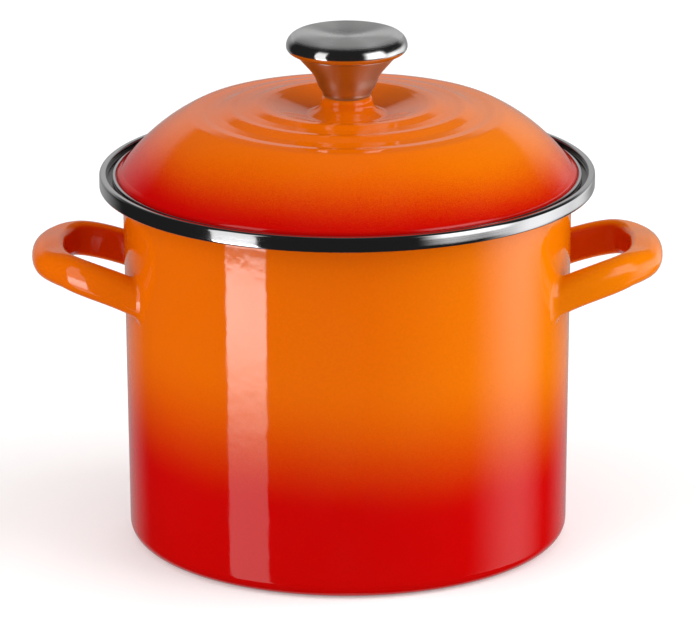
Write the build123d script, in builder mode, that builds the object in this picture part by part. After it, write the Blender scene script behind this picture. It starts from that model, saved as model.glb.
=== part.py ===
"""Enamelled steel stockpot: a straight-sided drawn pot with two welded loop handles, and a domed,
ringed lid that rests in the stepped mouth and carries a stainless knob held by one screw.

Frame: +Z up, origin at the centre of the base, the handles along X. Millimetres.
"""
import math
import os

from build123d import *

# ---- driving dimensions ------------------------------------------------------------------------
BODY_R = 112.0           # outside radius of the pot's wall at the top
BODY_TAPER = 1.6         # how much smaller the radius is at the base
SHEET = 1.6              # enamelled sheet of the pot
BASE_CORNER_R = 7.5      # outside radius between base and wall
BASE_DISH = 0.8          # the base's centre stands this far off the table
BASE_DISH_R = 90.0       # radius of that raised centre
BASE_DISH_STEP = 4.0     # width of the slope round it

SEAT_Z = 184.6           # ledge in the mouth that the lid rests on
FLARE_R = 2.4            # outside radius of the turn from wall to ledge
LIP_R = 122.7            # outside radius of the upstanding lip
LIP_TOP_Z = 187.6
LIP_BEND_R = 3.0

BAND_SHEET = 0.9         # stainless channel over the lip
BAND_BOTTOM_Z = 181.1
BAND_HOOK = 2.6          # inward return under the ledge
BAND_INNER_DROP = 2.2    # short leg inside the mouth
BAND_ROUNDING = 0.8      # corner radius of both bands, in thicknesses of their sheet

LID_SHEET = 1.4          # enamelled sheet of the lid
DOME_R = 114.8           # outside radius where the dome turns down to its flange
DOME_Z = 187.0
DOME_RISE = 41.0         # height of the unringed dome over its edge
DOME_POWER = 3.69        # squareness of the dome's shoulder
DOME_START_R = 79.0      # the dome's own curve runs from here
DOME_END_R = 112.4       # to here, where it turns down to the flange
DOME_TURN = 1.8          # height of that turn
DOME_INSET = 0.6         # share of the sheet's thickness taken off the dome's height inside
FLANGE_R = 116.3
FLANGE_TOP_Z = 186.6

# the crown is pressed in three terraces round a shallow dish: (radius, height) of each edge
TERRACES = (
    (36.5, 222.1), (40.6, 222.9), (44.2, 223.0), (49.6, 221.8), (54.8, 221.2), (58.4, 221.3),
    (64.2, 219.3), (69.6, 218.5), (73.4, 218.6))
TERRACE_EDGE_R = 9.0     # rounding of those edges

BOSS_R = 12.4            # raised centre that the knob stands on
BOSS_Z = 226.6
BOSS_EDGE_R = 1.0        # rounding of its top edge
BOSS_SIDE = ((0.6, 4.0), (2.8, 7.2))   # how its side spreads: (outwards, down) from its top edge
BOSS_FOOT_R = 20.0
DISH_Z = 217.3           # lowest point of the dished crown, round the boss
SCREW_HOLE_R = 2.8

LID_BAND_R = 117.0       # stainless channel over the lid's edge
LID_BAND_SHEET = 0.55
LID_BAND_BOTTOM_Z = 184.9
LID_BAND_TOP_Z = 187.4
LID_BAND_LIP = 1.5
LID_BAND_HOOK = 2.3      # inward return under the flange

HANDLE_LINE = (          # centre of one leg, from inside the wall out to the middle of the grip
    (88.0, 45.1, 125.6), (111.0, 40.2, 136.1), (124.9, 37.7, 140.8), (138.7, 31.4, 144.3),
    (147.6, 16.7, 145.0), (149.5, 0.0, 145.6))
HANDLE_LEG_W = 10.0      # thickness of a leg
HANDLE_GRIP_W = 16.6     # width of the grip, seen from above
HANDLE_LEG_H = 17.8      # height of a leg
HANDLE_GRIP_H = 15.4     # height of the grip
HANDLE_LEG_Y = 37.7      # a leg starts to widen here
HANDLE_GRIP_Y = 16.0     # and has the grip's full width from here
HANDLE_SHEET = 1.5       # the handles are pressed hollow
HANDLE_LEAN = 3.0        # degrees that the grip's outer side leans down
HANDLE_OUTER_R = 7.6     # rounding of the outer edges
HANDLE_INNER_R = 3.4
HANDLE_FLAT = 0.6        # least flat left between those two roundings
HANDLE_SECTIONS = 25     # sections lofted along each handle
FOOT_FLARE_W = 2.4       # how much the feet grow where they are welded to the wall
FOOT_FLARE_H = 1.6
FOOT_FLARE_REACH = 5.0   # and how far out from the wall they do

GASKET_R = 11.7
GASKET_T = 1.0
KNOB_Z = BOSS_Z + GASKET_T
KNOB_SHEET = 1.3
STEM_R = 12.4            # radius of the knob's foot
STEM_FOOT_R = 11.8       # radius of the foot's flat underside
STEM_CURVE = ((0.0, 1.4), (2.1, 4.6), (3.6, 8.6), (7.3, 13.8))   # (outwards, up) from the foot
CREASE_R = 25.9          # where stem and cap meet
CREASE_Z = 248.4
CAP_R = 30.2             # widest radius of the knob
CAP_Z = 252.1            # and its height
CREST_R = 22.5           # raised ring of the cap's top
CREST_Z = 258.9
CAP_DISH = 2.2           # depth of the dish inside that ring
CAP_DISH_R = 10.0        # radius of its nearly flat middle
CAP_DISH_EDGE = 7.0      # width over which the ring rolls into it

SCREW_R = 2.45
SCREW_HEAD_R = 5.2
SCREW_HEAD_H = 3.2
SCREW_HEAD_EDGE_R = 1.6
SCREW_REACH = 13.0       # length of screw above the knob's floor
SLOT_W = 1.1             # the cross cut in its head
SLOT_DEPTH = 1.8
WASHER_R = 8.0
WASHER_T = 1.0
LOCK_R = 4.8
LOCK_T = 1.2
LOCK_SPLIT = 0.6         # width of the spring washer's split
LOCK_SPLIT_ANGLE = 20
INSERT_R = 5.4
INSERT_H = 15.0
SMALL_CHAMFER = 0.6      # on the ends of the screw and the insert
WASHER_CHAMFER = 0.2

os.makedirs("parts", exist_ok=True)


# ---- helpers -----------------------------------------------------------------------------------
def dome_height(radius, inset):
    """Height of the dome at a radius; inset moves the curve inwards by the sheet's thickness."""
    return DOME_Z - inset + DOME_RISE * (1 - (radius / DOME_R) ** DOME_POWER)


def dome_points(inset, count=7):
    """Points of the dome's shoulder, from outside the last terrace to where it turns down."""
    radii = [DOME_START_R + (DOME_END_R - DOME_START_R) * math.sin(math.pi / 2 * i / count)
             for i in range(count + 1)]
    return [(r - inset * r / DOME_R, dome_height(r, inset * DOME_INSET)) for r in radii]


def crown_points(inset):
    """Points of the terraced crown, from the foot of the boss to the start of the dome."""
    edges_in = [(r, z - inset) for r, z in ((BOSS_FOOT_R, DISH_Z), *TERRACES)]
    return edges_in + [dome_points(inset)[0]]


def save(name, piece):
    """Label a finished piece and write it to its own file."""
    piece.part.label = name
    export_step(piece.part, f"parts/{name}.step")


# ---- pot ---------------------------------------------------------------------------------------
base_r = BODY_R - BODY_TAPER
corner_c = base_r - BASE_CORNER_R
dish_edge_r = BASE_DISH_R + BASE_DISH_STEP
flare_z = SEAT_Z - SHEET - FLARE_R
flare_c = BODY_R + FLARE_R
lip_c = LIP_R - LIP_BEND_R
lip_z = SEAT_Z - SHEET + LIP_BEND_R

with BuildPart() as pot_shell:
    with BuildSketch(Plane.XZ):
        with BuildLine():
            Polyline((0, BASE_DISH), (BASE_DISH_R, BASE_DISH), (dish_edge_r, 0), (corner_c, 0))
            RadiusArc((corner_c, 0), (base_r, BASE_CORNER_R), -BASE_CORNER_R)
            Line((base_r, BASE_CORNER_R), (BODY_R, flare_z))
            RadiusArc((BODY_R, flare_z), (flare_c, flare_z + FLARE_R), FLARE_R)
            Line((flare_c, flare_z + FLARE_R), (lip_c, SEAT_Z - SHEET))
            RadiusArc((lip_c, SEAT_Z - SHEET), (LIP_R, lip_z), -LIP_BEND_R)
            Polyline((LIP_R, lip_z), (LIP_R, LIP_TOP_Z), (LIP_R - SHEET, LIP_TOP_Z), (LIP_R - SHEET, lip_z))
            RadiusArc((LIP_R - SHEET, lip_z), (lip_c, SEAT_Z), LIP_BEND_R - SHEET)
            Line((lip_c, SEAT_Z), (flare_c, SEAT_Z))
            RadiusArc((flare_c, SEAT_Z), (BODY_R - SHEET, flare_z), -(FLARE_R + SHEET))
            Line((BODY_R - SHEET, flare_z), (base_r - SHEET, BASE_CORNER_R))
            RadiusArc((base_r - SHEET, BASE_CORNER_R), (corner_c, SHEET), BASE_CORNER_R - SHEET)
            Polyline((corner_c, SHEET), (dish_edge_r, SHEET), (BASE_DISH_R, SHEET + BASE_DISH),
                     (0, SHEET + BASE_DISH), (0, BASE_DISH))
        make_face()
    revolve(axis=Axis.Z)
save("pot_shell", pot_shell)

band_r = LIP_R + BAND_SHEET
band_top = LIP_TOP_Z + BAND_SHEET
band_inner_r = LIP_R - SHEET - BAND_SHEET
with BuildPart() as pot_rim_band:
    with BuildSketch(Plane.XZ):
        with BuildLine():
            Polyline((LIP_R, LIP_TOP_Z), (LIP_R, BAND_BOTTOM_Z + BAND_SHEET),
                     (band_r - BAND_HOOK, BAND_BOTTOM_Z + BAND_SHEET), (band_r - BAND_HOOK, BAND_BOTTOM_Z),
                     (band_r, BAND_BOTTOM_Z), (band_r, band_top), (band_inner_r, band_top),
                     (band_inner_r, band_top - BAND_INNER_DROP), (LIP_R - SHEET, band_top - BAND_INNER_DROP),
                     (LIP_R - SHEET, LIP_TOP_Z), close=True)
        face = make_face()
        half = BAND_SHEET / 2
        corners = face.vertices().filter_by(lambda v: v.X > LIP_R + half or v.Z > LIP_TOP_Z + half)
        fillet(corners, BAND_SHEET * BAND_ROUNDING)
    revolve(axis=Axis.Z)
save("pot_rim_band", pot_rim_band)

# ---- handles -----------------------------------------------------------------------------------
with BuildLine():
    spine = Spline(*HANDLE_LINE, *[(x, -y, z) for x, y, z in reversed(HANDLE_LINE[:-1])])


def handle_section(share, inset):
    """One rounded section across the handle, a share of the way along it, inset from its skin."""
    centre, along = spine @ share, spine % share
    rise = min(1.0, max(0.0, (HANDLE_LEG_Y - abs(centre.Y)) / (HANDLE_LEG_Y - HANDLE_GRIP_Y)))
    to_grip = rise ** 2 * (3 - 2 * rise)
    flare = min(1.0, max(0.0, 1 - (math.hypot(centre.X, centre.Y) - BODY_R) / FOOT_FLARE_REACH) ** 2)
    width = HANDLE_LEG_W + (HANDLE_GRIP_W - HANDLE_LEG_W) * to_grip + FOOT_FLARE_W * flare
    height = HANDLE_LEG_H + (HANDLE_GRIP_H - HANDLE_LEG_H) * to_grip + FOOT_FLARE_H * flare
    lean = math.radians(HANDLE_LEAN) * to_grip
    outward = Vector(-along.Y, along.X, 0).normalized()
    across = outward * math.cos(lean) - Vector(0, 0, math.sin(lean))
    with BuildSketch(Plane(origin=centre, x_dir=across, z_dir=along)) as section:
        Rectangle(width - 2 * inset, height - 2 * inset)
        outer_r = min(HANDLE_OUTER_R, width - HANDLE_INNER_R - HANDLE_FLAT) - inset
        fillet(section.vertices().group_by(Axis.X)[-1], outer_r)
        fillet(section.vertices().group_by(Axis.X)[0], HANDLE_INNER_R - inset)
    return section.sketch


shares = [i / (HANDLE_SECTIONS - 1) for i in range(HANDLE_SECTIONS)]
with BuildPart() as handle_right:
    loft([handle_section(share, 0.0) for share in shares])
    loft([handle_section(share, HANDLE_SHEET) for share in shares], mode=Mode.SUBTRACT)
    with Locations((0, 0, BASE_CORNER_R)):
        Cone(base_r, BODY_R, flare_z - BASE_CORNER_R, align=(Align.CENTER, Align.CENTER, Align.MIN),
             mode=Mode.SUBTRACT)
save("handle_right", handle_right)

with BuildPart() as handle_left:
    mirror(handle_right.part, about=Plane.YZ)
save("handle_left", handle_left)

# ---- lid ---------------------------------------------------------------------------------------
with BuildPart() as lid_shell:
    with BuildSketch(Plane.XZ):
        with BuildLine():
            for inset in (0.0, LID_SHEET):
                boss_r, boss_z = BOSS_R - inset, BOSS_Z - inset
                side = [(boss_r + out, boss_z - down) for out, down in ((0.0, BOSS_EDGE_R), *BOSS_SIDE)]
                crown, shoulder = crown_points(inset), dome_points(inset)
                turn_r, turn_z = shoulder[-1]
                Line((SCREW_HOLE_R, boss_z), (boss_r - BOSS_EDGE_R, boss_z))
                Spline((boss_r - BOSS_EDGE_R, boss_z), *side, crown[0], tangents=[(1, 0), (1, 0)])
                FilletPolyline(*crown, radius=TERRACE_EDGE_R)
                Spline(*shoulder)
                Bezier((turn_r, turn_z), (DOME_R - inset, turn_z - DOME_TURN), (DOME_R - inset, DOME_Z))
            Polyline((DOME_R, DOME_Z), (DOME_R, FLANGE_TOP_Z), (FLANGE_R, FLANGE_TOP_Z),
                     (FLANGE_R, FLANGE_TOP_Z - LID_SHEET), (DOME_R - LID_SHEET, FLANGE_TOP_Z - LID_SHEET),
                     (DOME_R - LID_SHEET, DOME_Z))
            Line((SCREW_HOLE_R, BOSS_Z), (SCREW_HOLE_R, BOSS_Z - LID_SHEET))
        make_face()
    revolve(axis=Axis.Z)
save("lid_shell", lid_shell)

lid_band_in = LID_BAND_R - LID_BAND_LIP
hook_r = LID_BAND_R - LID_BAND_HOOK
with BuildPart() as lid_rim_band:
    with BuildSketch(Plane.XZ):
        with BuildLine():
            Polyline((FLANGE_R, FLANGE_TOP_Z), (lid_band_in, FLANGE_TOP_Z), (lid_band_in, LID_BAND_TOP_Z),
                     (LID_BAND_R, LID_BAND_TOP_Z), (LID_BAND_R, LID_BAND_BOTTOM_Z),
                     (hook_r, LID_BAND_BOTTOM_Z), (hook_r, FLANGE_TOP_Z - LID_SHEET),
                     (FLANGE_R, FLANGE_TOP_Z - LID_SHEET), close=True)
        face = make_face()
        fillet(face.vertices().group_by(Axis.X)[-1], LID_BAND_SHEET * BAND_ROUNDING)
    revolve(axis=Axis.Z)
save("lid_rim_band", lid_rim_band)

# ---- knob --------------------------------------------------------------------------------------
with BuildPart() as knob_gasket:
    with BuildSketch(Plane.XY.offset(BOSS_Z)):
        Circle(GASKET_R)
        Circle(SCREW_HOLE_R, mode=Mode.SUBTRACT)
    extrude(amount=GASKET_T)
save("knob_gasket", knob_gasket)


def stem_points(inset):
    """Outline of the flared stem, from just above its foot to the crease under the cap."""
    curve = [(STEM_R + out - inset, KNOB_Z + up) for out, up in STEM_CURVE]
    return curve + [(CREASE_R - inset, CREASE_Z)]


with BuildPart() as knob_stem:
    with BuildSketch(Plane.XZ):
        with BuildLine():
            outer, inner = stem_points(0), stem_points(KNOB_SHEET)
            floor_z = KNOB_Z + KNOB_SHEET
            Polyline((SCREW_HOLE_R, KNOB_Z), (STEM_FOOT_R, KNOB_Z), outer[0])
            Spline(*outer)
            Line(outer[-1], inner[-1])
            Spline(*inner)
            Polyline(inner[0], (inner[0][0], floor_z), (SCREW_HOLE_R, floor_z), (SCREW_HOLE_R, KNOB_Z))
        make_face()
    revolve(axis=Axis.Z)
save("knob_stem", knob_stem)

with BuildPart() as knob_cap:
    with BuildSketch(Plane.XZ):
        with BuildLine():
            for inset in (0.0, KNOB_SHEET):
                crease_r, top_z, dish_z = CREASE_R - inset, CREST_Z - inset, CREST_Z - CAP_DISH - inset
                EllipticalCenterArc((crease_r, CAP_Z), CAP_R - CREASE_R, CAP_Z - CREASE_Z, 270, arc_size=90)
                EllipticalCenterArc((CREST_R, CAP_Z), CAP_R - inset - CREST_R, top_z - CAP_Z, 0, arc_size=90)
                Bezier((CREST_R, top_z), (CREST_R - CAP_DISH_EDGE, top_z), (CAP_DISH_R, dish_z), (0, dish_z))
            Line((CREASE_R, CREASE_Z), (CREASE_R - KNOB_SHEET, CREASE_Z))
            Line((0, CREST_Z - CAP_DISH), (0, CREST_Z - CAP_DISH - KNOB_SHEET))
        make_face()
    revolve(axis=Axis.Z)
save("knob_cap", knob_cap)

insert_z = KNOB_Z + KNOB_SHEET
with BuildPart() as knob_insert:
    with BuildSketch(Plane.XY.offset(insert_z)):
        Circle(INSERT_R)
        Circle(SCREW_R, mode=Mode.SUBTRACT)
    extrude(amount=INSERT_H)
    chamfer(edges().group_by(Axis.Z)[-1].sort_by(SortBy.LENGTH)[-1], SMALL_CHAMFER)
save("knob_insert", knob_insert)

# ---- fastening, inside the lid -----------------------------------------------------------------
washer_z = BOSS_Z - LID_SHEET - WASHER_T
lock_z = washer_z - LOCK_T
with BuildPart() as knob_washer:
    with BuildSketch(Plane.XY.offset(washer_z)):
        Circle(WASHER_R)
        Circle(SCREW_HOLE_R, mode=Mode.SUBTRACT)
    extrude(amount=WASHER_T)
    chamfer(edges().sort_by(SortBy.LENGTH)[-2:], WASHER_CHAMFER)
save("knob_washer", knob_washer)

with BuildPart() as knob_lock_washer:
    with BuildSketch(Plane.XY.offset(lock_z)):
        Circle(LOCK_R)
        Circle(SCREW_HOLE_R, mode=Mode.SUBTRACT)
        with Locations((SCREW_HOLE_R, 0)):
            Rectangle(LOCK_R, LOCK_SPLIT, rotation=LOCK_SPLIT_ANGLE, align=(Align.MIN, Align.CENTER),
                      mode=Mode.SUBTRACT)
    extrude(amount=LOCK_T)
save("knob_lock_washer", knob_lock_washer)

with BuildPart() as knob_screw:
    with BuildSketch(Plane.XY.offset(lock_z)):
        Circle(SCREW_HEAD_R)
    extrude(amount=-SCREW_HEAD_H)
    fillet(edges().group_by(Axis.Z)[0], SCREW_HEAD_EDGE_R)
    with BuildSketch(Plane.XY.offset(lock_z - SCREW_HEAD_H)):
        for angle in (0, 90):
            Rectangle(SCREW_HEAD_R, SLOT_W, rotation=angle)
    extrude(amount=SLOT_DEPTH, mode=Mode.SUBTRACT)
    with BuildSketch(Plane.XY.offset(lock_z)):
        Circle(SCREW_R)
    extrude(amount=insert_z + SCREW_REACH - lock_z)
    chamfer(edges().group_by(Axis.Z)[-1], SMALL_CHAMFER)
save("knob_screw", knob_screw)
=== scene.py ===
"""Looks for an enamelled steel stockpot with a ringed lid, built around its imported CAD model.

The pot, the lid, the two handles, the stainless bands and the knob are turned or swept again as fine meshes
in place of the CAD solids. The fastening inside the lid keeps its CAD solids. Sizes are in millimetres and
become metres when a mesh is made.
"""
import math

import bpy
import numpy as np
from mathutils import Matrix, Vector


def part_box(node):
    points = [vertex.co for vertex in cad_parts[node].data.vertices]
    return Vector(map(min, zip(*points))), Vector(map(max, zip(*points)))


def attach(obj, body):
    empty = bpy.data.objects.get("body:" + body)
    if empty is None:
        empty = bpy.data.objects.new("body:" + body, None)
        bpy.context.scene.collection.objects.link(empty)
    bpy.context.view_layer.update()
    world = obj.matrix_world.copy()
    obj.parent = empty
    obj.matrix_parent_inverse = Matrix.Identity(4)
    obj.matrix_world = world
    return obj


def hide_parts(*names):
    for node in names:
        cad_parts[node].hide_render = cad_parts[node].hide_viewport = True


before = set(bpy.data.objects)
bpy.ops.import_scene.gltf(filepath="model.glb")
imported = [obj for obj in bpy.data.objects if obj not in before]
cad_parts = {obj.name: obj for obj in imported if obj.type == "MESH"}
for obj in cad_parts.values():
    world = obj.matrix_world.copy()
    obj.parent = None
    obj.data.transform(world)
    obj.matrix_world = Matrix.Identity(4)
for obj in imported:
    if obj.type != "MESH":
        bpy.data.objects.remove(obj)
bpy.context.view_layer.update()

MM = 0.001
TURN_STEPS = 288          # facets round a turned piece
ON_AXIS = 1e-6            # a smaller radius counts as a point on the axis


# ---- sizes -------------------------------------------------------------------------------------
def reach(node):
    """Largest radius, lowest and highest point of a CAD node, in millimetres."""
    low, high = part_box(node)
    return high.x / MM, low.z / MM, high.z / MM


LIP_R, _, LIP_TOP_Z = reach("pot_shell")
BAND_R, BAND_BOTTOM_Z, BAND_TOP_Z = reach("pot_rim_band")
FLANGE_R, _, BOSS_Z = reach("lid_shell")
LID_BAND_R, LID_BAND_BOTTOM_Z, LID_BAND_TOP_Z = reach("lid_rim_band")
CREASE_R, KNOB_Z, CREASE_Z = reach("knob_stem")
CAP_R, _, CREST_Z = reach("knob_cap")

BODY_R = 112.0            # outside of the wall, at the top and at the base
BASE_R = 110.4
SHEET = 1.6
BASE_CORNER_R = 7.5
BASE_DISH_R = 90.0
BASE_DISH = 0.8
SEAT_Z = 184.6            # ledge that the lid rests on
FLARE_R = 2.4
LIP_BEND_R = 3.0
FLARE_Z = SEAT_Z - SHEET - FLARE_R
BAND_SHEET = 0.9
BAND_HOOK = 2.6           # how far the rim band is hooked in under the lip
BAND_CORNER_R = 1.5       # outer top corner of the rim band
BAND_EDGE_R = 0.85        # its lower edge
BAND_LIP_R = 0.7          # its inner top corner

LID_SHEET = 1.4
DOME_R = 114.8
DOME_Z = 187.0
DOME_RISE = 41.0
DOME_POWER = 3.69
FLANGE_TOP_Z = 186.6
TERRACES = (
    (36.5, 222.1), (40.6, 222.9), (44.2, 223.0), (49.6, 221.8), (54.8, 221.2), (58.4, 221.3),
    (64.2, 219.3), (69.6, 218.5), (73.4, 218.6))
TERRACE_EDGE_R = 9.0
BOSS_R = 12.4
BOSS_SIDE = ((0.0, 1.0), (0.6, 4.0), (2.8, 7.2))
BOSS_FOOT = (20.0, 217.3)
SCREW_HOLE_R = 2.8
DOME_START_R = 79.0
DOME_END_R = 112.4
FLANGE_BEND_R = 0.5       # where the dome turns out into the flange
LID_BAND_OVER = 1.5       # how far in the lid's band reaches over the flange
LID_BAND_UNDER = 2.3      # and under it
LID_BAND_EDGE_R = 0.5

STEM_R = 12.4
STEM_CURVE = ((0.0, 1.4), (2.1, 4.6), (3.6, 8.6), (7.3, 13.8))
KNOB_SHEET = 1.3
CAP_Z = 252.1
CREST_R = 22.5
CAP_DISH = 2.2
CAP_DISH_R = 10.0         # control points of the curve that dips from crest to dish:
CAP_CREST_RUN = 7.0       # this radius at its low end, this far inside the crest at its high end
KNOB_EDGE_R = 0.55

HANDLE_LINE = (
    (88.0, 45.1, 125.6), (111.0, 40.2, 136.1), (124.9, 37.7, 140.8), (138.7, 31.4, 144.3),
    (147.6, 16.7, 145.0), (149.5, 0.0, 145.6))
HANDLE_LEG = (10.0, 17.8)         # width and height of a leg
HANDLE_GRIP = (16.6, 15.4)        # and of the grip
HANDLE_LEG_Y, HANDLE_GRIP_Y = 37.7, 16.0
HANDLE_LEAN = math.radians(3.0)
HANDLE_OUTER_R, HANDLE_INNER_R = 7.6, 3.4
HANDLE_RINGS = 150
WELD_R = 3.2              # hollow rounding of enamel where a handle meets the wall
WELD_SINK = 0.6           # how far the handle's ends reach into the wall


# ---- outlines ----------------------------------------------------------------------------------
def arc(centre, radius, start, end, steps=8):
    """Points of an arc in the (radius, height) plane, from one angle to another, in degrees."""
    angles = [math.radians(start + (end - start) * i / steps) for i in range(steps + 1)]
    return [(centre[0] + radius * math.cos(a), centre[1] + radius * math.sin(a)) for a in angles]


def straight(start, end, steps):
    """Points of a straight run, without its two ends."""
    return [(start[0] + (end[0] - start[0]) * i / steps, start[1] + (end[1] - start[1]) * i / steps)
            for i in range(1, steps)]


def rounded(points, radius, steps=8):
    """An open outline with its inner corners rounded by arcs, as far as the runs allow."""
    made = [points[0]]
    for before, corner, after in zip(points, points[1:], points[2:]):
        a, b, c = (Vector(p) for p in (before, corner, after))
        u, v = (a - b).normalized(), (c - b).normalized()
        half = u.angle(v) / 2
        cut = min(radius / math.tan(half), 0.5 * min((a - b).length, (c - b).length))
        start, end = b + u * cut, b + v * cut
        for i in range(steps + 1):
            t = i / steps
            made.append(tuple(start.lerp(b, t).lerp(b.lerp(end, t), t)))
    return made + [points[-1]]


def through(points, steps=10):
    """A smooth curve through points of any dimension: a natural cubic spline."""
    p = np.array(points, float)
    t = np.concatenate([[0], np.cumsum(np.linalg.norm(np.diff(p, axis=0), axis=1))])
    gap, count = np.diff(t), len(p)
    bend = np.eye(count)
    push = np.zeros_like(p)
    for i in range(1, count - 1):
        bend[i, i - 1:i + 2] = gap[i - 1], 2 * (gap[i - 1] + gap[i]), gap[i]
        push[i] = 6 * ((p[i + 1] - p[i]) / gap[i] - (p[i] - p[i - 1]) / gap[i - 1])
    m = np.linalg.solve(bend, push)
    made = []
    for i in range(count - 1):
        for s in np.linspace(0, gap[i], steps, endpoint=False):
            r = gap[i] - s
            made.append((m[i] * r ** 3 + m[i + 1] * s ** 3) / (6 * gap[i])
                        + (p[i] / gap[i] - m[i] * gap[i] / 6) * r
                        + (p[i + 1] / gap[i] - m[i + 1] * gap[i] / 6) * s)
    return made + [p[-1]]


# ---- meshes ------------------------------------------------------------------------------------
def new_piece(name, verts, faces, body, materials, stands_for, sorts=None):
    """A smooth-shaded mesh, given in millimetres, that rides on a body in place of a CAD node."""
    mesh = bpy.data.meshes.new(name)
    mesh.from_pydata([tuple(c * MM for c in v) for v in verts], [], faces)
    for material in materials:
        mesh.materials.append(material)
    if sorts is not None:
        mesh.polygons.foreach_set("material_index", sorts)
    mesh.polygons.foreach_set("use_smooth", [True] * len(mesh.polygons))
    mesh.update()
    piece = bpy.data.objects.new(name, mesh)
    bpy.context.scene.collection.objects.link(piece)
    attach(piece, body)
    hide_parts(stands_for)
    return piece


def turned(name, outline, body, materials, stands_for, inside_from=None):
    """A piece turned about the Z axis from an outline of (radius, height) points. The outline is closed,
    or starts and ends on the axis. Faces after inside_from take the second material."""
    outline = [tuple(p) for p in outline]
    on_axis = outline[0][0] < ON_AXIS
    rings = outline if on_axis else outline + [outline[0]]
    verts, index = [], []
    for r, z in outline:
        if r < ON_AXIS:
            index.append([len(verts)] * TURN_STEPS)
            verts.append((0.0, 0.0, z))
        else:
            index.append(list(range(len(verts), len(verts) + TURN_STEPS)))
            for i in range(TURN_STEPS):
                a = 2 * math.pi * i / TURN_STEPS
                verts.append((r * math.cos(a), r * math.sin(a), z))
    if not on_axis:
        index.append(index[0])
    faces, sorts = [], []
    for k in range(len(rings) - 1):
        for i in range(TURN_STEPS):
            j = (i + 1) % TURN_STEPS
            quad = [index[k][i], index[k][j], index[k + 1][j], index[k + 1][i]]
            faces.append([v for n, v in enumerate(quad) if v not in quad[:n]])
            sorts.append(1 if inside_from is not None and k >= inside_from else 0)
    return new_piece(name, verts, faces, body, materials, stands_for, sorts)


# ---- materials ---------------------------------------------------------------------------------
class Paint:
    """A material under construction: short names for its nodes and links."""

    def __init__(self, name):
        self.material = bpy.data.materials.new(name)
        self.material.use_nodes = True
        self.nodes, self.links = self.material.node_tree.nodes, self.material.node_tree.links
        self.shader = self.nodes["Principled BSDF"]
        self.place = self.nodes.new("ShaderNodeTexCoord").outputs["Object"]

    def set(self, **values):
        for name, value in values.items():
            self.shader.inputs[name.replace("_", " ").title().replace("Ior", "IOR")].default_value = value

    def node(self, kind, **settings):
        made = self.nodes.new("ShaderNode" + kind)
        for name, value in settings.items():
            if hasattr(made, name):
                setattr(made, name, value)
            else:
                made.inputs[name.replace("_", " ").title()].default_value = value
        return made

    def noise(self, scale, detail=3.0, place=None):
        made = self.node("TexNoise", scale=scale, detail=detail)
        self.links.new(place or self.place, made.inputs["Vector"])
        return made.outputs["Fac"]

    def spread(self, value, low, high, to_low=0.0, to_high=1.0, smooth=False):
        made = self.nodes.new("ShaderNodeMapRange")
        made.interpolation_type = "SMOOTHSTEP" if smooth else "LINEAR"
        for slot, number in zip(("From Min", "From Max", "To Min", "To Max"), (low, high, to_low, to_high)):
            made.inputs[slot].default_value = number
        self.links.new(value, made.inputs["Value"])
        return made.outputs["Result"]

    def math(self, operation, a, b):
        made = self.node("Math", operation=operation)
        for slot, value in zip(made.inputs, (a, b)):
            if isinstance(value, (int, float)):
                slot.default_value = value
            else:
                self.links.new(value, slot)
        return made.outputs[0]

    def mix(self, factor, a, b):
        made = self.node("Mix", data_type="RGBA")
        for slot, value in zip(("Factor_Float", "A_Color", "B_Color"), (factor, a, b)):
            entry = next(s for s in made.inputs if s.identifier == slot)
            if isinstance(value, tuple):
                entry.default_value = (*value, 1.0)
            else:
                self.links.new(value, entry)
        return next(s for s in made.outputs if s.identifier == "Result_Color")

    def along(self, axis):
        """Distance along X, Y or Z, in metres."""
        split = self.node("SeparateXYZ")
        self.links.new(self.place, split.inputs[0])
        return split.outputs[axis]

    def from_axis(self):
        """Distance from the pot's axis, in metres."""
        flat = self.node("VectorMath", operation="MULTIPLY")
        self.links.new(self.place, flat.inputs[0])
        flat.inputs[1].default_value = (1.0, 1.0, 0.0)
        length = self.node("VectorMath", operation="LENGTH")
        self.links.new(flat.outputs[0], length.inputs[0])
        return length.outputs["Value"]

    def facing(self, point):
        """Cosine between the surface's normal and the way to a point, in millimetres."""
        way = self.node("VectorMath", operation="SUBTRACT")
        way.inputs[0].default_value = tuple(c * MM for c in point)
        self.links.new(self.place, way.inputs[1])
        unit = self.node("VectorMath", operation="NORMALIZE")
        self.links.new(way.outputs[0], unit.inputs[0])
        cosine = self.node("VectorMath", operation="DOT_PRODUCT")
        self.links.new(unit.outputs[0], cosine.inputs[0])
        self.links.new(self.nodes["Texture Coordinate"].outputs["Normal"], cosine.inputs[1])
        return cosine.outputs["Value"]

    def bump(self, height, strength, distance, under=None):
        made = self.node("Bump", strength=strength, distance=distance)
        self.links.new(height, made.inputs["Height"])
        if under is not None:
            self.links.new(under, made.inputs["Normal"])
        return made.outputs["Normal"]

    def use(self, **outputs):
        for name, output in outputs.items():
            self.links.new(output, self.shader.inputs[name.replace("_", " ").title()])


ORANGE = (0.640, 0.112, 0.0003)
# Painted light: a lighter orange for the +X side, where the stronger lamp falls.
ORANGE_PAINTED_LIT = (0.665, 0.158, 0.0006)
RED = (0.460, 0.0006, 0.0003)


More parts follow.
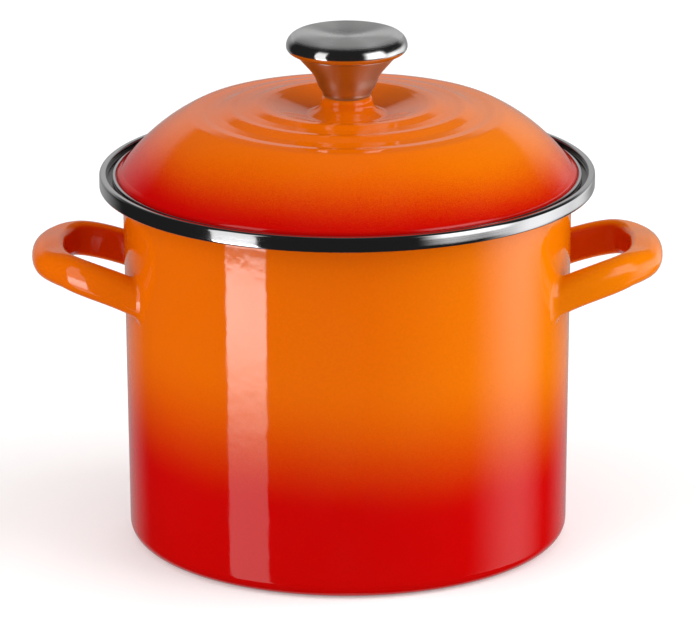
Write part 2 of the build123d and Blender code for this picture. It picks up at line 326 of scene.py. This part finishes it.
def enamel(name, low, high, tilt, loop=None):
    """Glossy vitreous enamel, red below one height and orange above another, sprayed one into the other.
    tilt says how much the border between them falls towards +X. Where the surface faces the centre of a
    loop, it is painted redder: painted shade inside the handle's loop."""
    paint = Paint(name)
    cloud = paint.spread(paint.noise(9.0, 2.0), 0.3, 0.7, -0.0025, 0.0025)
    speckle = paint.spread(paint.noise(2600.0, 1.0), 0.35, 0.65, -0.004, 0.004)
    level = paint.math("ADD", paint.along("Z"), paint.math("ADD", cloud, speckle))
    level = paint.math("ADD", level, paint.math("MULTIPLY", paint.along("X"), tilt))
    warm = paint.spread(level, low * MM, high * MM, smooth=True)
    # Painted light: the orange is painted lighter towards +X, the side the stronger lamp lights.
    orange = paint.mix(paint.spread(paint.along("X"), 0.01, 0.10), ORANGE, ORANGE_PAINTED_LIT)
    if loop:
        # Painted shade: faces turned towards the loop's centre are painted redder, as if in the shade
        # inside the handle.
        loop_painted_shade = paint.spread(paint.facing(loop), 0.35, 0.95, 1.0, 0.18, smooth=True)
        warm = paint.math("MULTIPLY", warm, loop_painted_shade)
    colour = paint.mix(warm, RED, orange)
    depth = paint.spread(paint.noise(700.0, 4.0), 0.3, 0.7, 0.97, 1.03)
    shaded = paint.node("VectorMath", operation="SCALE")
    paint.links.new(colour, shaded.inputs[0])
    paint.links.new(depth, shaded.inputs["Scale"])
    peel = paint.bump(paint.noise(140.0, 1.0), 0.05, 0.0008)
    fine = paint.bump(paint.noise(480.0, 2.0), 0.02, 0.0004, peel)
    paint.use(base_color=shaded.outputs[0], normal=fine,
              roughness=paint.spread(paint.noise(60.0, 3.0), 0.3, 0.7, 0.035, 0.075))
    paint.set(ior=1.5)
    return paint.material


def dark_enamel():
    """The near-black enamel inside the pot, with a fine pale speckle."""
    paint = Paint("dark_enamel")
    speck = paint.spread(paint.noise(1500.0, 2.0), 0.66, 0.72)
    colour = paint.mix(speck, (0.016, 0.012, 0.010), (0.07, 0.06, 0.055))
    peel = paint.bump(paint.noise(180.0, 2.0), 0.06, 0.0008)
    paint.use(base_color=colour, normal=peel,
              roughness=paint.spread(paint.noise(90.0, 3.0), 0.3, 0.7, 0.12, 0.22))
    return paint.material


def steel(name, tone, roughness, line_scale, anisotropy, bump_strength, polished=None):
    """Stainless steel finished on a lathe: fine lines run round the axis. Between the two heights in
    polished it turns from brushed, above, to buffed."""
    paint = Paint(name)
    together = paint.node("CombineXYZ")
    paint.links.new(paint.from_axis(), together.inputs["X"])
    paint.links.new(paint.along("Z"), together.inputs["Y"])
    lines = paint.noise(line_scale, 3.0, together.outputs[0])
    smudge = paint.noise(70.0, 4.0)
    colour = paint.mix(paint.spread(lines, 0.3, 0.7), tuple(c * 0.9 for c in tone), tone)
    uneven = paint.math("ADD", paint.spread(lines, 0.3, 0.7, -0.02, 0.02),
                        paint.spread(smudge, 0.3, 0.7, roughness - 0.03, roughness + 0.03))
    if polished:
        keep = paint.spread(paint.along("Z"), polished[0] * MM, polished[1] * MM, 1.0, 0.3, smooth=True)
        uneven = paint.math("MULTIPLY", uneven, keep)
        paint.use(metallic=paint.spread(keep, 0.3, 1.0, 1.0, 0.8))
    else:
        paint.set(metallic=1.0)
    tangent = paint.node("Tangent", direction_type="RADIAL", axis="Z")
    paint.use(base_color=colour, roughness=uneven, tangent=tangent.outputs[0],
              normal=paint.bump(lines, bump_strength, 0.0001))
    paint.set(anisotropic=anisotropy, anisotropic_rotation=0.25)
    return paint.material


def rubber():
    paint = Paint("gasket_rubber")
    grain = paint.noise(1800.0, 3.0)
    paint.use(base_color=paint.mix(grain, (0.22, 0.07, 0.015), (0.28, 0.09, 0.02)),
              roughness=paint.spread(grain, 0.3, 0.7, 0.55, 0.75), normal=paint.bump(grain, 0.3, 0.0002))
    return paint.material


POT_FADE = (44, 112, 0.03)        # heights where pure red ends and pure orange starts, and tilt
LID_FADE = (188.5, 216, 0.04)
LOOP_CENTRE = (116.0, 0.0, 141.0)
POT_ENAMEL = enamel("enamel_pot", *POT_FADE)
LID_ENAMEL = enamel("enamel_lid", *LID_FADE)
LOOP_ENAMEL = {
    side: enamel(f"enamel_{name}", *POT_FADE, (side * LOOP_CENTRE[0], *LOOP_CENTRE[1:]))
    for side, name in ((1, "handle_right"), (-1, "handle_left"))}
DARK_ENAMEL = dark_enamel()
BAND_STEEL = steel("steel_band", (0.60, 0.60, 0.61), 0.085, 2600.0, 0.2, 0.03)
KNOB_BUFFED = (258.4, 256.0)      # the knob is brushed above the first height, buffed below the second
KNOB_STEEL = steel("steel_knob", (0.70, 0.695, 0.69), 0.42, 3200.0, 0.9, 0.12, KNOB_BUFFED)
STEM_STEEL = steel("steel_stem", (0.62, 0.60, 0.58), 0.32, 3200.0, 0.9, 0.12)
SMALL_STEEL = steel("steel_fastener", (0.52, 0.52, 0.53), 0.28, 1500.0, 0.3, 0.15)
RUBBER = rubber()


# ---- the pot -----------------------------------------------------------------------------------
def pot_body():
    corner = BASE_R - BASE_CORNER_R
    slope = BASE_DISH_R + 4
    flare, lip = BODY_R + FLARE_R, LIP_R - LIP_BEND_R
    bend_z = SEAT_Z - SHEET + LIP_BEND_R
    out = [(0, BASE_DISH)] + straight((0, BASE_DISH), (BASE_DISH_R, BASE_DISH), 12)
    out += rounded([(BASE_DISH_R - 6, BASE_DISH), (BASE_DISH_R, BASE_DISH), (slope, 0), (slope + 4, 0)], 20)
    out += arc((corner, BASE_CORNER_R), BASE_CORNER_R, -90, 0, 14)
    out += straight((BASE_R, BASE_CORNER_R), (BODY_R, FLARE_Z), 40)
    out += arc((flare, FLARE_Z), FLARE_R, 180, 90, 8)
    out += arc((lip, bend_z), LIP_BEND_R, -90, 0, 8)
    out += straight((LIP_R, bend_z), (LIP_R, LIP_TOP_Z), 2)
    out += arc((LIP_R - SHEET / 2, LIP_TOP_Z - SHEET / 2), SHEET / 2, 0, 180, 8)
    back = len(out)
    out += arc((lip, bend_z), LIP_BEND_R - SHEET, 0, -90, 6)
    out += arc((flare, FLARE_Z), FLARE_R + SHEET, 90, 180, 8)
    out += straight((BODY_R - SHEET, FLARE_Z), (BASE_R - SHEET, BASE_CORNER_R), 24)
    out += arc((corner, BASE_CORNER_R), BASE_CORNER_R - SHEET, 0, -90, 10)
    out += straight((corner, SHEET), (BASE_DISH_R, SHEET + BASE_DISH), 3)
    out += straight((BASE_DISH_R, SHEET + BASE_DISH), (0, SHEET + BASE_DISH), 10) + [(0, SHEET + BASE_DISH)]
    return turned("pot_body", out, "pot", [POT_ENAMEL, DARK_ENAMEL], "pot_shell", back)


def rim_band():
    inner, under, edge = LIP_R - SHEET - BAND_SHEET, BAND_R - BAND_HOOK, BAND_EDGE_R
    out = arc((BAND_R - edge, BAND_BOTTOM_Z + edge), edge, -90, 0, 6)
    out += [(BAND_R + 0.02, z) for z in np.linspace(BAND_BOTTOM_Z + 1.4, BAND_TOP_Z - 2.0, 6)]
    out += arc((BAND_R - BAND_CORNER_R, BAND_TOP_Z - BAND_CORNER_R), BAND_CORNER_R, 0, 90, 8)
    out += arc((inner + BAND_LIP_R, BAND_TOP_Z - BAND_LIP_R), BAND_LIP_R, 90, 180, 6)
    out += [(inner, BAND_TOP_Z - 1.6)] + arc((inner + 0.45, BAND_TOP_Z - 1.9), 0.45, 180, 270, 4)
    out += [(LIP_R - SHEET, BAND_TOP_Z - 2.3), (LIP_R - SHEET, LIP_TOP_Z), (LIP_R, LIP_TOP_Z)]
    out += [(LIP_R, BAND_BOTTOM_Z + BAND_SHEET), (under, BAND_BOTTOM_Z + BAND_SHEET),
            (under, BAND_BOTTOM_Z)]
    return turned("rim_band", out, "pot", [BAND_STEEL], "pot_rim_band")


def section(width, height):
    """Half-round cornered outline across a handle: (outwards, up) points, anticlockwise."""
    outer = min(HANDLE_OUTER_R, width - HANDLE_INNER_R - 0.6, height / 2 - 0.1)
    inner = HANDLE_INNER_R
    x, y = width / 2, height / 2
    out = []
    for cx, cy, r, start in ((x - outer, y - outer, outer, 0), (inner - x, y - inner, inner, 90),
                             (inner - x, inner - y, inner, 180), (x - outer, outer - y, outer, 270)):
        out += arc((cx, cy), r, start, start + 90, 9)
    return np.array(out)


def handle(name, side, stands_for):
    """A loop swept in rings across its line, then cut off at the wall line by line and flared into it."""
    half = list(HANDLE_LINE)
    line = np.array(through(half + [(x, -y, z) for x, y, z in half[-2::-1]], 24))
    along = np.gradient(line, axis=0)
    along /= np.linalg.norm(along, axis=1)[:, None]
    skin = []
    for centre, heading in zip(line, along):
        rise = min(1.0, max(0.0, (HANDLE_LEG_Y - abs(centre[1])) / (HANDLE_LEG_Y - HANDLE_GRIP_Y)))
        rise = rise ** 2 * (3 - 2 * rise)
        shape = section(*(leg + (grip - leg) * rise for leg, grip in zip(HANDLE_LEG, HANDLE_GRIP)))
        outward = np.array([-heading[1], heading[0], 0.0])
        outward /= np.linalg.norm(outward)
        across = outward * math.cos(HANDLE_LEAN * rise) - np.array([0, 0, math.sin(HANDLE_LEAN * rise)])
        across -= heading * (across @ heading)
        across /= np.linalg.norm(across)
        upward = np.cross(heading, across)
        skin.append(centre + shape[:, :1] * across + shape[:, 1:] * upward)
    skin = np.array(skin)                              # ring, place in ring, coordinate
    wall = BASE_R + (BODY_R - BASE_R) * (skin[:, :, 2] - BASE_CORNER_R) / (FLARE_Z - BASE_CORNER_R)
    clear = np.hypot(skin[:, :, 0], skin[:, :, 1]) - wall + WELD_SINK
    steps = 0.5 - 0.5 * np.cos(np.linspace(0, math.pi, HANDLE_RINGS))
    rings, places, middle = len(line), skin.shape[1], len(line) // 2
    cut = np.zeros((HANDLE_RINGS, places, 3))
    spine = np.zeros_like(cut)
    for k in range(places):
        ends = []
        for order in (range(middle, 0, -1), range(middle, rings - 1)):
            step = -1 if order.step == -1 else 1
            i = next(i for i in order if clear[i + step, k] <= 0)
            ends.append(i + step * clear[i, k] / (clear[i, k] - clear[i + step, k]))
        spots = ends[0] + (ends[1] - ends[0]) * steps
        for axis in range(3):
            cut[:, k, axis] = np.interp(spots, range(rings), skin[:, k, axis])
            spine[:, k, axis] = np.interp(spots, range(rings), line[:, axis])
    wall = BASE_R + (BODY_R - BASE_R) * (cut[:, :, 2] - BASE_CORNER_R) / (FLARE_Z - BASE_CORNER_R)
    reach_out = np.hypot(cut[:, :, 0], cut[:, :, 1])
    off = np.clip(reach_out - wall, 0, WELD_R)
    flare = WELD_R - np.sqrt(WELD_R ** 2 - (WELD_R - off) ** 2)
    normal = np.stack([cut[:, :, 0] / reach_out, cut[:, :, 1] / reach_out, np.zeros_like(off)], axis=2)
    away = cut - spine
    away -= normal * (away * normal).sum(2, keepdims=True)
    away /= np.linalg.norm(away, axis=2, keepdims=True)
    cut += away * flare[:, :, None]
    verts = (cut * np.array([side, 1, 1])).reshape(-1, 3)
    faces = []
    for i in range(HANDLE_RINGS - 1):
        for k in range(places):
            j = (k + 1) % places
            faces.append([i * places + k, i * places + j, (i + 1) * places + j, (i + 1) * places + k])
    faces += [list(range(places)), list(range(len(verts) - 1, len(verts) - places - 1, -1))]
    if side > 0:
        faces = [face[::-1] for face in faces]
    return new_piece(name, verts, faces, "pot", [LOOP_ENAMEL[side]], stands_for)


# ---- the lid -----------------------------------------------------------------------------------
def dome(inset, steps=26):
    """The lid's shoulder, from its last terrace to where it turns down to the flange."""
    radii = [DOME_START_R + (DOME_END_R - DOME_START_R) * math.sin(math.pi / 2 * i / steps)
             for i in range(steps + 1)]
    return [(r - inset * r / DOME_R, DOME_Z - inset * 0.6 + DOME_RISE * (1 - (r / DOME_R) ** DOME_POWER))
            for r in radii]


def lid_face(inset):
    """One face of the lid's sheet, from the screw hole out to the flange."""
    boss_r, boss_z = BOSS_R - inset, BOSS_Z - inset
    side = [(boss_r + out, boss_z - down) for out, down in BOSS_SIDE]
    foot = (BOSS_FOOT[0], BOSS_FOOT[1] - inset)
    shoulder = dome(inset)
    crown = [foot] + [(r, z - inset) for r, z in TERRACES] + [shoulder[0]]
    made = [(SCREW_HOLE_R, boss_z)]
    made += through([(boss_r - 1, boss_z), *side, (foot[0] - 1.6, foot[1] + 0.25)], 6)
    made += rounded([made[-1], *crown, shoulder[2]], TERRACE_EDGE_R, 10)[1:] + shoulder[3:]
    end_z = shoulder[-1][1]
    made += [(DOME_R - inset - 0.5, end_z - 1.0), (DOME_R - inset, end_z - 2.6)]
    return made


def lid_body():
    top, under = lid_face(0.0), lid_face(LID_SHEET)
    bend = FLANGE_BEND_R
    out = top + arc((DOME_R + bend, FLANGE_TOP_Z + bend), bend, 180, 270, 4)
    out += [(FLANGE_R, FLANGE_TOP_Z)]
    back = len(out)
    out += [(FLANGE_R, FLANGE_TOP_Z - LID_SHEET), (DOME_R - LID_SHEET, FLANGE_TOP_Z - LID_SHEET)]
    return turned("lid_dome", out + under[::-1], "lid", [LID_ENAMEL, DARK_ENAMEL],
                  "lid_shell", back)


def lid_edge():
    inner, hook, edge = LID_BAND_R - LID_BAND_OVER, LID_BAND_R - LID_BAND_UNDER, LID_BAND_EDGE_R
    out = arc((LID_BAND_R - edge, LID_BAND_BOTTOM_Z + edge), edge, -90, 0, 5)
    out += arc((LID_BAND_R - edge, LID_BAND_TOP_Z - edge), edge, 0, 90, 6)
    out += arc((inner + 0.3, LID_BAND_TOP_Z - 0.3), 0.3, 90, 180, 4)
    out += [(inner, FLANGE_TOP_Z), (FLANGE_R, FLANGE_TOP_Z), (FLANGE_R, FLANGE_TOP_Z - LID_SHEET)]
    out += [(hook, FLANGE_TOP_Z - LID_SHEET), (hook, LID_BAND_BOTTOM_Z)]
    return turned("lid_edge_band", out, "lid", [BAND_STEEL], "lid_rim_band")


# ---- the knob ----------------------------------------------------------------------------------
def knob_foot():
    curve = through([(STEM_R + out, KNOB_Z + up) for out, up in STEM_CURVE] + [(CREASE_R, CREASE_Z)], 8)
    inner = [(r - KNOB_SHEET, z) for r, z in curve[::-1]]
    out = [(SCREW_HOLE_R, KNOB_Z), (STEM_R - 0.6, KNOB_Z)]
    out += arc((STEM_R - KNOB_EDGE_R, KNOB_Z + KNOB_EDGE_R), KNOB_EDGE_R, -90, 0, 4)
    out += curve + inner
    out += [(STEM_R - KNOB_SHEET, KNOB_Z + KNOB_SHEET), (SCREW_HOLE_R, KNOB_Z + KNOB_SHEET)]
    return turned("knob_neck", out, "lid", [STEM_STEEL], "knob_stem")


def knob_face(inset):
    """Outside or inside of the cap, from its lower edge round to the middle of its dished top."""
    top, low = CREST_Z - inset, CREST_Z - CAP_DISH - inset
    out = []
    for i in range(15):
        a = math.radians(-90 + 90 * i / 14)
        out.append((CREASE_R - inset + (CAP_R - CREASE_R) * math.cos(a),
                    CAP_Z + (CAP_Z - CREASE_Z) * math.sin(a)))
    for i in range(1, 17):
        a = math.radians(90 * i / 16)
        out.append((CREST_R + (CAP_R - inset - CREST_R) * math.cos(a), CAP_Z + (top - CAP_Z) * math.sin(a)))
    dip = ((CREST_R, top), (CREST_R - CAP_CREST_RUN, top), (CAP_DISH_R, low), (0, low))
    for i in range(1, 25):
        t = i / 24
        weights = ((1 - t) ** 3, 3 * t * (1 - t) ** 2, 3 * t * t * (1 - t), t ** 3)
        out.append(tuple(sum(w * p[n] for w, p in zip(weights, dip)) for n in (0, 1)))
    return out


def knob_top():
    outline = knob_face(0.0)[::-1] + knob_face(KNOB_SHEET)
    return turned("knob_top", outline, "lid", [KNOB_STEEL], "knob_cap")


pot_body()
rim_band()
handle("handle_loop_right", 1, "handle_right")
handle("handle_loop_left", -1, "handle_left")
lid_body()
lid_edge()
knob_foot()
knob_top()
kept_nodes = {"knob_insert": SMALL_STEEL, "knob_washer": SMALL_STEEL, "knob_lock_washer": SMALL_STEEL,
              "knob_screw": SMALL_STEEL, "knob_gasket": RUBBER}
for node, material in kept_nodes.items():
    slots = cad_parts[node].data.materials
    slots.clear()
    slots.append(material)


# ---- studio ------------------------------------------------------------------------------------
FLOOR_HALF = 9.0
AIM_POINT = (0, 0, 0.12)
CARD_COLUMNS = 16
CARD_FOOT_Z = -0.6
DARK_GLOW = 0.02          # of the world in reflections, at its darkest
DIFFUSE_GLOW = 0.36       # of the world as diffuse light
BACKDROP_GLOW = 0.95      # of the world to the camera


def floor():
    """A plain pale floor. It stays out of reflections, as if the pot stood on a small white table."""
    mesh = bpy.data.meshes.new("floor")
    corners = [(x * FLOOR_HALF, y * FLOOR_HALF, 0) for x, y in ((-1, -1), (1, -1), (1, 1), (-1, 1))]
    mesh.from_pydata(corners, [], [(0, 1, 2, 3)])
    paint = Paint("floor_paper")
    paint.use(base_color=paint.mix(paint.noise(1.5), (0.70, 0.70, 0.70), (0.73, 0.73, 0.73)))
    paint.set(roughness=0.9, emission_color=(1, 1, 1, 1), emission_strength=0.26)
    mesh.materials.append(paint.material)
    made = bpy.data.objects.new("floor", mesh)
    bpy.context.scene.collection.objects.link(made)
    made.visible_glossy = False


def soft_light(name, place, size, watts):
    """A rectangular area light aimed at the pot. It lights the enamel and isn't mirrored in it."""
    data = bpy.data.lights.new(name, "AREA")
    data.shape, data.size, data.size_y, data.energy = "RECTANGLE", size[0], size[1], watts
    lamp = bpy.data.objects.new(name, data)
    bpy.context.scene.collection.objects.link(lamp)
    lamp.location = place
    way = Vector(AIM_POINT) - lamp.location
    lamp.rotation_euler = way.to_track_quat("-Z", "Y").to_euler()
    lamp.visible_camera = lamp.visible_glossy = False


def card(name, bearing, width, heights, glow, low_glow, soft, away=1.0):
    """An upright glowing card, bent round the pot, that is only mirrored. bearing is its middle, in
    degrees from -Y towards +X, and away its distance in metres. heights are where its glow starts to
    rise from low_glow, where it is full, where it starts to fade and where the card ends. soft is the
    share of its width over which each side fades out."""
    mesh = bpy.data.meshes.new(name)
    verts = []
    for i in range(CARD_COLUMNS + 1):
        a = math.radians(bearing - width / 2 + width * i / CARD_COLUMNS)
        verts += [(away * math.sin(a), -away * math.cos(a), z) for z in (CARD_FOOT_Z, heights[3])]
    mesh.from_pydata(verts, [], [(2 * i, 2 * i + 1, 2 * i + 3, 2 * i + 2) for i in range(CARD_COLUMNS)])
    across = mesh.uv_layers.new(name="across")
    for loop, entry in zip(mesh.loops, across.data):
        entry.uv = (loop.vertex_index // 2 / CARD_COLUMNS, loop.vertex_index % 2)
    paint = Paint(name)
    split = paint.node("SeparateXYZ")
    paint.links.new(paint.nodes["Texture Coordinate"].outputs["UV"], split.inputs[0])
    level = paint.spread(split.outputs["X"], 0.0, soft, smooth=True)
    for value, start, end, first, last in (
            (split.outputs["X"], 1.0, 1.0 - soft, 0.0, 1.0),
            (paint.along("Z"), heights[0], heights[1], low_glow, glow),
            (paint.along("Z"), heights[2], heights[3], 1.0, 0.0)):
        level = paint.math("MULTIPLY", level, paint.spread(value, start, end, first, last, smooth=True))
    shine, clear, both = paint.node("Emission"), paint.node("BsdfTransparent"), paint.node("AddShader")
    paint.links.new(level, shine.inputs["Strength"])
    paint.links.new(shine.outputs[0], both.inputs[0])
    paint.links.new(clear.outputs[0], both.inputs[1])
    paint.links.new(both.outputs[0], paint.nodes["Material Output"].inputs["Surface"])
    paint.nodes.remove(paint.shader)
    mesh.materials.append(paint.material)
    made = bpy.data.objects.new(name, mesh)
    bpy.context.scene.collection.objects.link(made)
    made.visible_camera = made.visible_diffuse = made.visible_shadow = False


def surroundings():
    """A plain studio. The camera sees it pale. Reflections find it pale behind the pot, up to a height,
    and dark elsewhere. Diffuse light from it is weak and even."""
    world = bpy.data.worlds.new("studio")
    bpy.context.scene.world = world
    world.use_nodes = True
    nodes, links = world.node_tree.nodes, world.node_tree.links
    outlook = nodes.new("ShaderNodeTexCoord").outputs["Generated"]
    split = nodes.new("ShaderNodeSeparateXYZ")
    links.new(outlook, split.inputs[0])
    level_look, bearing = nodes.new("ShaderNodeVectorMath"), nodes.new("ShaderNodeSeparateXYZ")
    level_look.operation = "MULTIPLY"
    level_look.inputs[1].default_value = (1, 1, 0)
    links.new(outlook, level_look.inputs[0])
    unit = nodes.new("ShaderNodeVectorMath")
    unit.operation = "NORMALIZE"
    links.new(level_look.outputs[0], unit.inputs[0])
    links.new(unit.outputs[0], bearing.inputs[0])

    def ramp(value, low, high, to_low, to_high):
        made = nodes.new("ShaderNodeMapRange")
        made.interpolation_type = "SMOOTHSTEP"
        for slot, number in zip(made.inputs[1:5], (low, high, to_low, to_high)):
            slot.default_value = number
        links.new(value, made.inputs["Value"])
        return made.outputs["Result"]

    def times(a, b):
        made = nodes.new("ShaderNodeMath")
        made.operation = "MULTIPLY"
        links.new(a, made.inputs[0])
        links.new(b, made.inputs[1])
        return made.outputs[0]

    behind = ramp(bearing.outputs["Y"], 0.60, 0.98, 0.0, 1.0)
    level = ramp(split.outputs["Z"], 0.0, 0.3, 0.36, 0.52)
    high = ramp(split.outputs["Z"], 0.37, 0.46, 1.0, 0.12)
    least = nodes.new("ShaderNodeMath")
    least.operation = "ADD"
    least.inputs[1].default_value = DARK_GLOW
    links.new(times(times(behind, level), high), least.inputs[0])
    strength = least.outputs[0]
    ray = nodes.new("ShaderNodeLightPath")
    for kind, constant in (("Is Diffuse Ray", DIFFUSE_GLOW), ("Is Camera Ray", BACKDROP_GLOW)):
        mixer = nodes.new("ShaderNodeMix")
        links.new(ray.outputs[kind], mixer.inputs["Factor"])
        links.new(strength, mixer.inputs["A"])
        mixer.inputs["B"].default_value = constant
        strength = mixer.outputs["Result"]
    links.new(strength, nodes["Background"].inputs["Strength"])
    nodes["Background"].inputs["Color"].default_value = (1, 1, 1, 1)


# ---- camera ------------------------------------------------------------------------------------
CAMERA_PLACE = (0.00023, -2.688, 0.93889)
CAMERA_PITCH, CAMERA_ROLL = math.radians(17.037), math.radians(-0.158)
SENSOR, LENS = 36.0, 289.37


def camera():
    data = bpy.data.cameras.new("camera")
    data.sensor_width, data.sensor_fit = SENSOR, "HORIZONTAL"
    data.lens = LENS
    data.clip_end = 50
    made = bpy.data.objects.new("camera", data)
    bpy.context.scene.collection.objects.link(made)
    made.matrix_world = (Matrix.Translation(CAMERA_PLACE)
                         @ Matrix.Rotation(math.pi / 2 - CAMERA_PITCH, 4, "X")
                         @ Matrix.Rotation(CAMERA_ROLL, 4, "Z"))
    bpy.context.scene.camera = made


camera()
floor()
surroundings()
soft_light("fill_left", (-1.55, -0.85, 0.95), (2.0, 2.0), 32)
soft_light("fill_right", (1.7, -0.40, 0.9), (2.0, 2.0), 46)
soft_light("fill_top", (0, -0.5, 2.3), (1.8, 1.8), 13)
soft_light("fill_back", (0.2, 1.9, 1.1), (1.6, 1.2), 12)
card("strip_left_low", -50.7, 22.3, (-0.26, -0.15, -0.120, -0.106), 7.4, 1.4, 0.03)
card("strip_left_high", -50.7, 22.3, (-0.120, -0.106, 0.75, 1.25), 1.3, 0.0, 0.03, 1.02)
card("softbox_right", 91, 60, (-0.30, -0.12, 0.2, 0.5), 1.5, 0.8, 0.48, 1.05)
card("softbox_behind", 122, 62, (-0.16, -0.11, 0.2, 0.5), 1.1, 0.0, 0.45, 1.07)
card("softbox_front_right", 56, 52, (-0.12, -0.07, 0.75, 1.25), 2.1, 0.0, 0.3, 1.1)
bpy.context.scene.view_settings.view_transform = "Standard"
